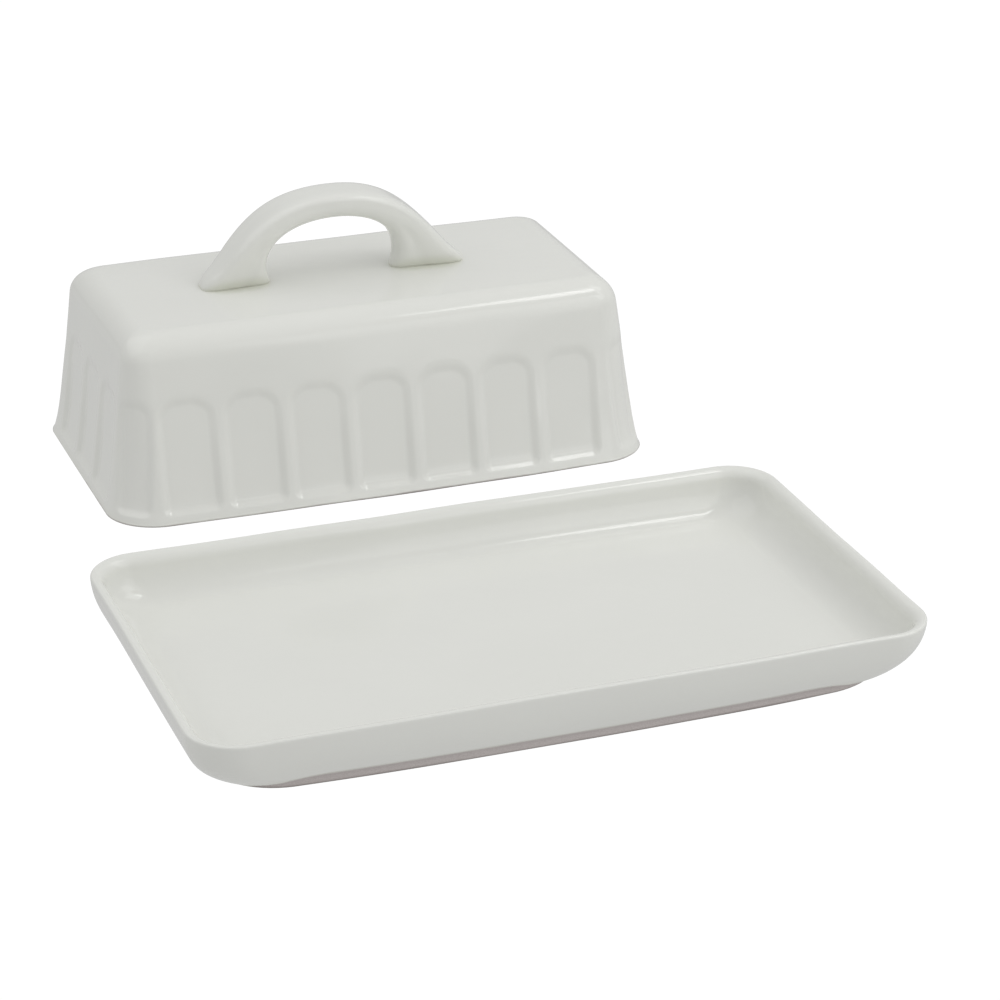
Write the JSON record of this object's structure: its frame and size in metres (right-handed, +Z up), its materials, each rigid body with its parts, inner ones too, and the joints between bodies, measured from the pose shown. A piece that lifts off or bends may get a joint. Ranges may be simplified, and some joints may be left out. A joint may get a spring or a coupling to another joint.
{
  "type": "butter dish",
  "caption": "Glazed stoneware butter dish: a shallow footed tray and a fluted rectangular cover with an arched strap handle.",
  "frame": {"origin": "on the table, under the centre of the whole set's bounding box, with the cover standing behind the tray", "axes": "+X to the right along the long sides, +Y from the tray towards the cover, +Z up"},
  "size_m": [0.2, 0.2666, 0.0808],
  "materials": {
    "tray_glaze": "glossy white glaze, bare clay on the foot ring",
    "cover_glaze": "glossy white glaze, bare clay on the bottom edge",
    "handle_glaze": "glossy white glaze"
  },
  "bodies": {
    "tray": {"tray": "tray_glaze"},
    "cover": {"cover": "cover_glaze", "handle": "handle_glaze"}
  },
  "joints": [
    {"name": "cover_lift", "type": "slide", "parent": "tray", "child": "cover", "axis": [-0.0366, -0.8921, 0.4503], "range_m": [0, 0.17766]}
  ]
}
